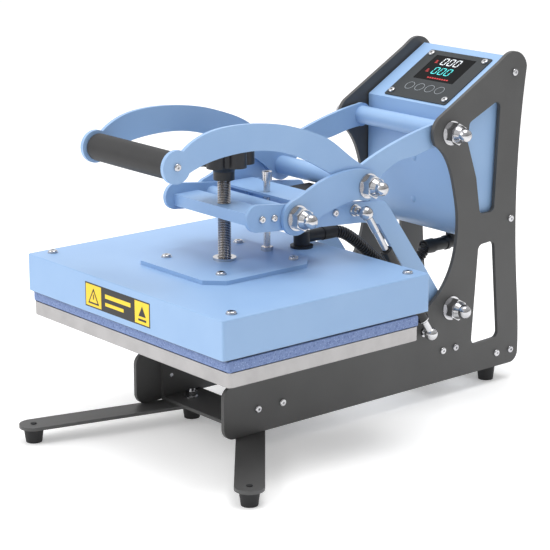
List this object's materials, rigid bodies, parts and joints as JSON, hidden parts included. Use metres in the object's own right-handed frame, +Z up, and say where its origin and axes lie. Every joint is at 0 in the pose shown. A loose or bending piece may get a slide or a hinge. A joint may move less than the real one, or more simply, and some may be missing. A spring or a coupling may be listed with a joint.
{
  "type": "heat press",
  "caption": "Clamshell heat press with swing-up heated head, toggle lever with grip, gas spring, padded lower plate, control box on twin side plates and swivel front legs.",
  "frame": {"origin": "centre of the lower pad's working face", "axes": "+Z up out of the pad, -Y towards the operator, +X to the operator's right; closed and locked at rest"},
  "size_m": [0.4199, 0.6335, 0.4262],
  "materials": {
    "frame_grey": "fine-textured dark grey powder coat",
    "machine_blue": "satin light blue powder coat",
    "plate_aluminium": "ground cast plate, left bare",
    "pad_silicone": "speckled blue silicone foam",
    "bright_steel": "bright nickel-plated hardware",
    "turned_steel": "turned and ground steel",
    "foot_rubber": "moulded black rubber",
    "black_plastic": "moulded black nylon",
    "grip_foam": "dark foam-rubber sleeve",
    "overlay_film": "printed dark grey overlay",
    "display_glass": "smoked display window",
    "heater_cast": "cast aluminium heater plate",
    "blanket_wool": "ceramic fibre blanket",
    "board_green": "circuit board",
    "relay_finned": "finned relay mount",
    "spring_black": "gloss black painted tube"
  },
  "bodies": {
    "frame": {"side_plate_left": "frame_grey", "side_plate_right": "frame_grey", "front_channel": "frame_grey", "middle_crossmember": "frame_grey", "rear_crossmember": "frame_grey", "platen_supports": "frame_grey", "lower_platen": "plate_aluminium", "silicone_pad": "pad_silicone", "base_bolts": "bright_steel", "base_feet": "foot_rubber", "frame_screws": "bright_steel", "axle_top": "turned_steel", "axle_rear": "turned_steel", "axle_nuts": "bright_steel", "control_box_shell": "machine_blue", "control_box_back": "machine_blue", "control_overlay": "overlay_film", "display_window": "display_glass", "controller_board": "board_green", "heater_relay": "relay_finned", "power_inlet": "black_plastic", "hose_gland": "black_plastic", "spring_stud_lower": "bright_steel"},
    "leg_left_arm": {"leg_left": "frame_grey", "leg_foot_left": "foot_rubber"},
    "leg_right_arm": {"leg_right": "frame_grey", "leg_foot_right": "foot_rubber"},
    "rocker": {"power_rocker": "black_plastic"},
    "arm": {"arm_plate_left": "machine_blue", "arm_plate_right": "machine_blue", "head_bar": "machine_blue", "head_channel": "machine_blue", "link_tube": "machine_blue", "link_axle": "turned_steel", "link_axle_nuts": "bright_steel", "arm_screws": "bright_steel", "spring_stud_upper": "bright_steel", "stop_block": "foot_rubber", "hose": "black_plastic"},
    "lever": {"lever_plate_left": "machine_blue", "lever_plate_right": "machine_blue", "top_tube": "machine_blue", "middle_tube": "machine_blue", "grip": "grip_foam", "grip_screws": "bright_steel"},
    "link": {"toggle_link_left": "machine_blue", "toggle_link_right": "machine_blue", "link_nuts": "bright_steel"},
    "upper_platen": {"heater_cover": "machine_blue", "heat_plate": "heater_cast", "heating_element": "turned_steel", "insulation_blanket": "blanket_wool", "mounting_plate": "machine_blue", "platen_screws": "bright_steel", "guide_bolt": "turned_steel", "elbow_fitting": "black_plastic"},
    "pressure_spindle": {"pressure_screw": "turned_steel", "knob": "black_plastic"},
    "spring_cylinder": {"gas_cylinder": "spring_black"},
    "spring_rod": {"gas_rod": "bright_steel"}
  },
  "joints": [
    {"name": "arm_swing", "type": "hinge", "parent": "frame", "child": "arm", "pos_m": [0, 0.294, -0.042], "axis": [-1, 0, 0], "range_deg": [0, 31.6], "deforming": ["hose"]},
    {"name": "lever_swing", "type": "hinge", "parent": "frame", "child": "lever", "pos_m": [0, 0.288, 0.18], "axis": [-1, 0, 0], "range_deg": [0, 85.1]},
    {"name": "link_swing", "type": "hinge", "parent": "arm", "child": "link", "pos_m": [0, 0.045, 0.111], "axis": [1, 0, 0], "range_deg": [0, 73.4]},
    {"name": "spring_tilt", "type": "hinge", "parent": "frame", "child": "spring_cylinder", "pos_m": [0.1, 0.248, -0.064], "axis": [-1, 0, 0], "range_deg": [0, 30.7]},
    {"name": "spring_extend", "type": "slide", "parent": "spring_cylinder", "child": "spring_rod", "axis": [0, -0.5455, 0.8381], "range_m": [0, 0.0276]},
    {"name": "platen_height", "type": "slide", "parent": "arm", "child": "upper_platen", "axis": [0, 0, 1], "range_m": [0, 0.008]},
    {"name": "knob_turn", "type": "hinge", "parent": "upper_platen", "child": "pressure_spindle", "pos_m": [0, 0.005, 0.1], "axis": [0, 0, 1], "range_deg": [0, 1440.5]},
    {"name": "leg_left_swing", "type": "hinge", "parent": "frame", "child": "leg_left_arm", "pos_m": [-0.057, -0.003, -0.137], "axis": [0, 0, 1], "range_deg": [-75, 14]},
    {"name": "leg_right_swing", "type": "hinge", "parent": "frame", "child": "leg_right_arm", "pos_m": [0.057, -0.003, -0.137], "axis": [0, 0, 1], "range_deg": [-50, 39]},
    {"name": "rocker_tip", "type": "hinge", "parent": "frame", "child": "rocker", "pos_m": [-0.015, 0.401, 0.09], "axis": [1, 0, 0], "range_deg": [0, 16]}
  ],
  "couplings": [
    {"joint": "lever_swing", "follows": "arm_swing", "ratio": 2.6897},
    {"joint": "link_swing", "follows": "arm_swing", "ratio": 2.3197},
    {"joint": "spring_tilt", "follows": "arm_swing", "ratio": 0.9683},
    {"joint": "spring_extend", "follows": "arm_swing", "m_per_rad": 0.04988},
    {"joint": "knob_turn", "follows": "platen_height", "rad_per_m": 3141.6}
  ]
}
